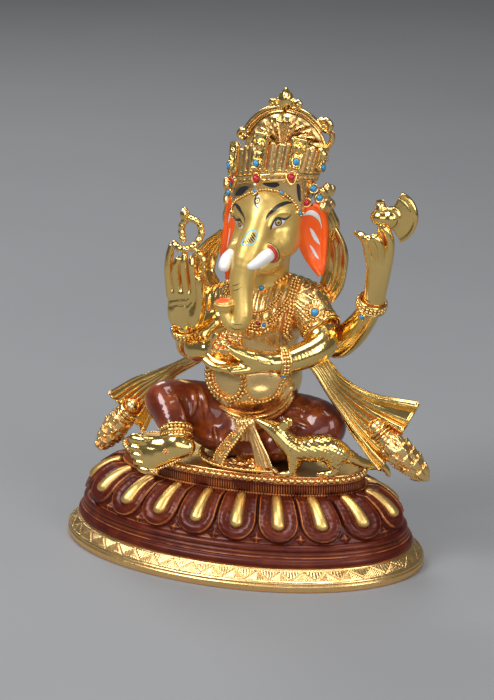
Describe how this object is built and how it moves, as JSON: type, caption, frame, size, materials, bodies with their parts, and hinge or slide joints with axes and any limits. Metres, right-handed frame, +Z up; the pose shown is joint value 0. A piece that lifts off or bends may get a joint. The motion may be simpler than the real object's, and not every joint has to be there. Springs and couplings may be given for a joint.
{
  "type": "seated elephant-headed statue",
  "caption": "Gilt copper elephant-headed deity seated on an oval lotus base, with raised arms, painted face, fanned sashes and a rat",
  "frame": {"origin": "centre of the oval underside, on the surface that the statue stands on", "axes": "+Z up, the figure faces -Y, +X is the figure's own left (a viewer's right)"},
  "size_m": [0.2756, 0.164, 0.3308],
  "materials": {
    "gilt": "polished fire gilding, orange in the recesses",
    "brown_copper": "oxidised copper, semi-gloss red-brown",
    "raw_copper": "dull beaten copper",
    "painted_gold": "satin gold paint",
    "orange_paint": "orange-red enamel paint",
    "white_paint": "white enamel paint",
    "black_paint": "satin black paint"
  },
  "bodies": {
    "root": {"bottom_cover": "raw_copper", "foot_rim": "gilt", "plinth": "brown_copper", "lotus_band": "brown_copper", "neck_band": "brown_copper", "bead_rim": "gilt", "seat_plate": "gilt", "right_lug_pin": "raw_copper", "left_lug_pin": "raw_copper", "axe_handle": "gilt", "axe_head": "gilt", "head": "painted_gold", "trunk": "painted_gold", "torso": "gilt", "right_tusk": "white_paint", "left_tusk": "white_paint", "hair": "black_paint", "crown_band": "gilt", "crown_leaf_front": "gilt", "crown_leaf_front_right": "gilt", "crown_leaf_front_left": "gilt", "crown_leaf_side_right": "gilt", "crown_leaf_side_left": "gilt", "crown_crest": "gilt", "right_ear": "orange_paint", "left_ear": "orange_paint", "right_rosette": "gilt", "left_rosette": "gilt", "hips": "brown_copper", "right_leg": "brown_copper", "left_leg": "brown_copper", "waistband": "gilt", "anklet": "gilt", "right_foot": "gilt", "bowl": "gilt", "sweets": "gilt", "noose": "gilt", "right_raised_arm": "gilt", "left_raised_arm": "gilt", "left_lower_arm": "gilt", "right_lower_arm": "gilt", "right_raised_hand": "gilt", "left_raised_hand": "gilt", "left_lower_hand": "gilt", "right_lower_hand": "gilt", "right_raised_bracelet": "gilt", "left_raised_bracelet": "gilt", "left_lower_bracelet": "gilt", "armlet": "gilt", "necklace": "gilt", "belly_garland": "gilt", "waist_sash": "gilt", "rat": "gilt", "rat_tail": "gilt", "right_scarf_loop": "gilt", "right_sash": "gilt", "right_tassel": "gilt", "left_scarf_loop": "gilt", "left_sash": "gilt", "left_tassel": "gilt"}
  },
  "joints": []
}
